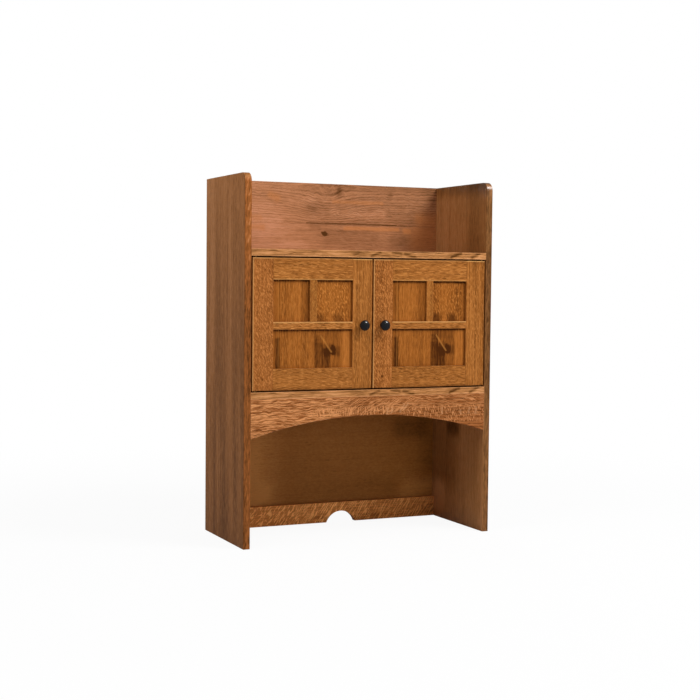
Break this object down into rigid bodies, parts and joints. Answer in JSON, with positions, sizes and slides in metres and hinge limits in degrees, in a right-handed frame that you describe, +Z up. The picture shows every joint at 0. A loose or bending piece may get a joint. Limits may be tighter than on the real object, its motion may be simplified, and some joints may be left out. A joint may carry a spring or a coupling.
{
  "type": "office hutch",
  "caption": "Oak hutch that stands on a desk: open ledge on top, cupboard with paired inset doors, open bay under an arched valance, cable notch in the back rail.",
  "frame": {"origin": "on the resting surface, under the middle of the box that holds the hutch and its knobs", "axes": "+X to the right as seen from the front, +Y to the back, +Z up"},
  "size_m": [0.813, 0.37, 1.086],
  "materials": {
    "oak_side": "satin lacquer over a dark warm stain, quartersawn oak",
    "oak_shelf": "satin lacquer over a warm stain, quartersawn oak",
    "oak_valance": "satin lacquer over a warm stain, oak with strong ray flake",
    "oak_back": "satin lacquer over a warm stain, plain sawn oak",
    "oak_plywood": "satin lacquer over a warm stain, oak veneer",
    "oak_frame": "satin lacquer over a warm stain, quartersawn oak",
    "oak_panel": "satin lacquer over a warm stain, plain sawn oak with heartwood",
    "raw_wood": "unfinished",
    "black_knob": "black gloss enamel",
    "brass": "satin",
    "steel": "zinc plated",
    "catch_plastic": "moulded brown",
    "magnet": "ground"
  },
  "bodies": {
    "carcass": {"left_side": "oak_side", "right_side": "oak_side", "upper_shelf": "oak_shelf", "lower_shelf": "oak_shelf", "valance": "oak_valance", "valance_glue_blocks": "raw_wood", "upper_back_top_plank": "oak_back", "upper_back_lower_plank": "oak_back", "back_panel": "oak_plywood", "back_rail": "oak_valance", "rail_dowels": "raw_wood", "panel_screws": "steel", "plank_screws": "steel", "adjustable_shelf": "oak_shelf", "shelf_pins": "brass", "catch_housing": "catch_plastic", "catch_magnets": "magnet", "catch_screws": "steel", "left_frame_hinge_leaves": "brass", "right_frame_hinge_leaves": "brass", "frame_hinge_screws": "brass"},
    "left_door": {"left_hinge_stile": "oak_frame", "left_meeting_stile": "oak_frame", "left_top_rail": "oak_frame", "left_bottom_rail": "oak_frame", "left_mid_rail": "oak_frame", "left_muntin": "oak_frame", "left_door_panel": "oak_panel", "left_knob": "black_knob", "left_knob_screw": "steel", "left_door_hinge_leaves": "brass", "left_hinge_pins": "steel", "left_hinge_washers": "brass", "left_door_hinge_screws": "brass", "left_strike_plate": "steel", "left_strike_screw": "steel"},
    "right_door": {"right_hinge_stile": "oak_frame", "right_meeting_stile": "oak_frame", "right_top_rail": "oak_frame", "right_bottom_rail": "oak_frame", "right_mid_rail": "oak_frame", "right_muntin": "oak_frame", "right_door_panel": "oak_panel", "right_knob": "black_knob", "right_knob_screw": "steel", "right_door_hinge_leaves": "brass", "right_hinge_pins": "steel", "right_hinge_washers": "brass", "right_door_hinge_screws": "brass", "right_strike_plate": "steel", "right_strike_screw": "steel"}
  },
  "joints": [
    {"name": "left_door_hinge", "type": "hinge", "parent": "carcass", "child": "left_door", "pos_m": [-0.3719, -0.1505, 0.6507], "axis": [0, 0, -1], "range_deg": [0, 110]},
    {"name": "right_door_hinge", "type": "hinge", "parent": "carcass", "child": "right_door", "pos_m": [0.3719, -0.1505, 0.6507], "axis": [0, 0, 1], "range_deg": [0, 110]}
  ]
}
